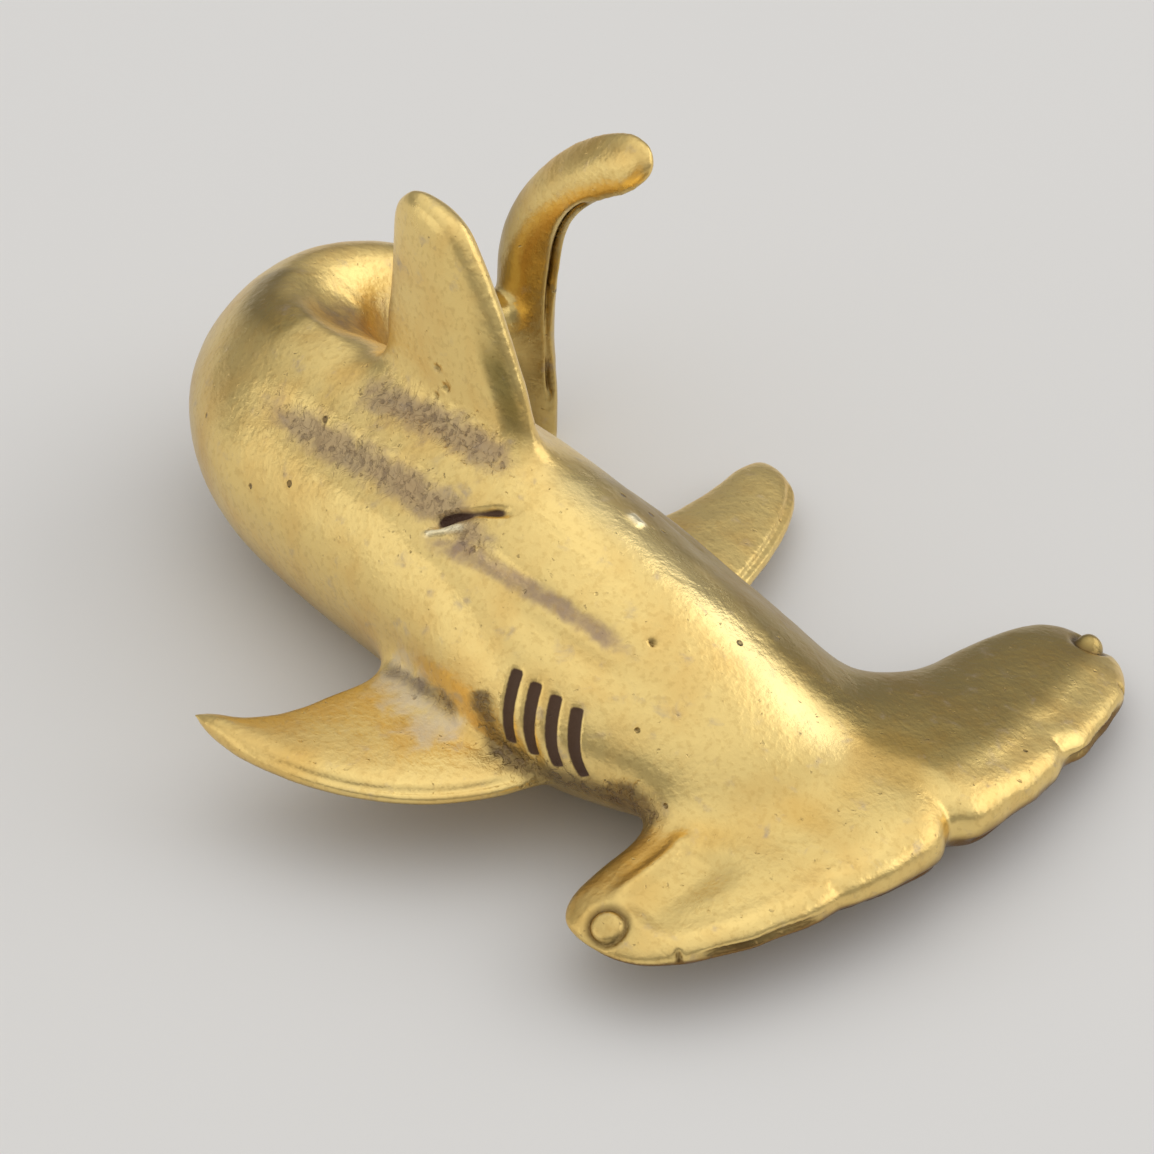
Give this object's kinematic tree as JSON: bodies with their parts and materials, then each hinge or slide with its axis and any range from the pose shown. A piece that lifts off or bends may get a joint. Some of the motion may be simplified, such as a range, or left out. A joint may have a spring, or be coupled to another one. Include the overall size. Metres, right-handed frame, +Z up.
{
  "type": "hammerhead shark figurine",
  "caption": "Small solid cast figurine of a hammerhead shark, body curled so that the tail hooks round beside the dorsal fin; it rests on its belly.",
  "frame": {"origin": "middle of the small flat under the belly, on the table plane", "axes": "+X the way the head points, +Y the shark's left, +Z up"},
  "size_m": [0.0433, 0.0322, 0.0209],
  "materials": {
    "aged_brass": "cast, satin rubbed high spots, brown patina in the hollows"
  },
  "bodies": {
    "root": {"shark_casting": "aged_brass"}
  },
  "joints": []
}
